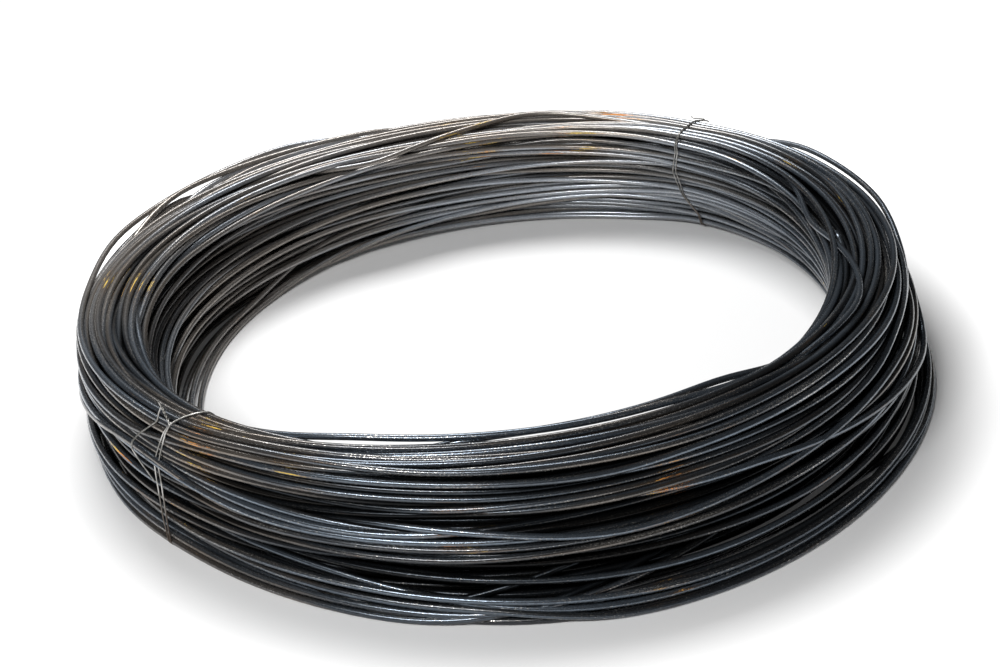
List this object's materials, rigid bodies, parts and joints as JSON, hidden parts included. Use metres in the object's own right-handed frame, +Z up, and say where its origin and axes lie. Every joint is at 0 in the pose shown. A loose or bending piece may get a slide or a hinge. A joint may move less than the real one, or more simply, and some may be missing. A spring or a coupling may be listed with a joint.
{
  "type": "coil of wire rod",
  "caption": "Loose flat-lying coil of hot-rolled steel wire rod with an open eye, its turns held together by doubled ties of thin annealed wire.",
  "frame": {"origin": "centre of the eye, on the floor that the coil lies on", "axes": "+Z up along the eye's axis; +X and +Y lie in the floor, and the front tie is at 224 degrees from +X about +Z"},
  "size_m": [0.917, 0.917, 0.1616],
  "materials": {
    "wire_rod": "hot-rolled steel with blue-black mill scale and light rust",
    "tie_wire": "soft annealed steel wire, dull with rust"
  },
  "bodies": {
    "root": {"wire_coil": "wire_rod", "tie_wire_front": "tie_wire", "tie_wire_rear": "tie_wire"}
  },
  "joints": []
}
